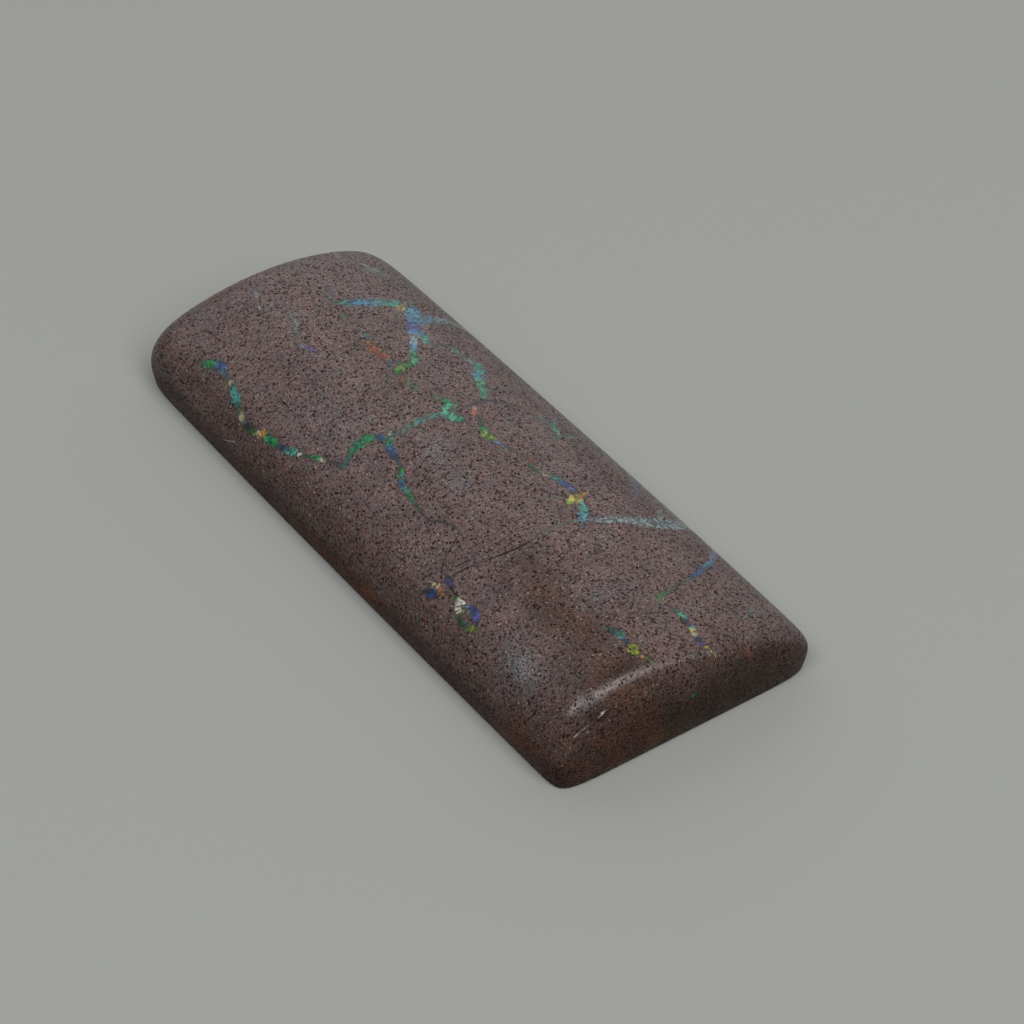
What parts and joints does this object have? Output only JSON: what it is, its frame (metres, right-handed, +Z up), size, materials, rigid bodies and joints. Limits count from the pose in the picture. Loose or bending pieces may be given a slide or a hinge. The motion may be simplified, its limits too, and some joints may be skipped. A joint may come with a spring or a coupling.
{
  "type": "polished boulder opal cabochon",
  "caption": "Rectangular polished cabochon of brown ironstone crossed by thin seams of opal, domed on top and sawn flat underneath, to be set or to lie on a table.",
  "frame": {"origin": "on the flat underside, below the middle of the stone's bounding box", "axes": "+X along the stone's length towards its squarer end, +Y across its width towards the back side, +Z up out of the dome"},
  "size_m": [0.034, 0.0136, 0.0049],
  "materials": {
    "polished_ironstone": "polished ironstone with thin seams of green, teal and blue opal"
  },
  "bodies": {
    "root": {"opal_stone": "polished_ironstone"}
  },
  "joints": []
}
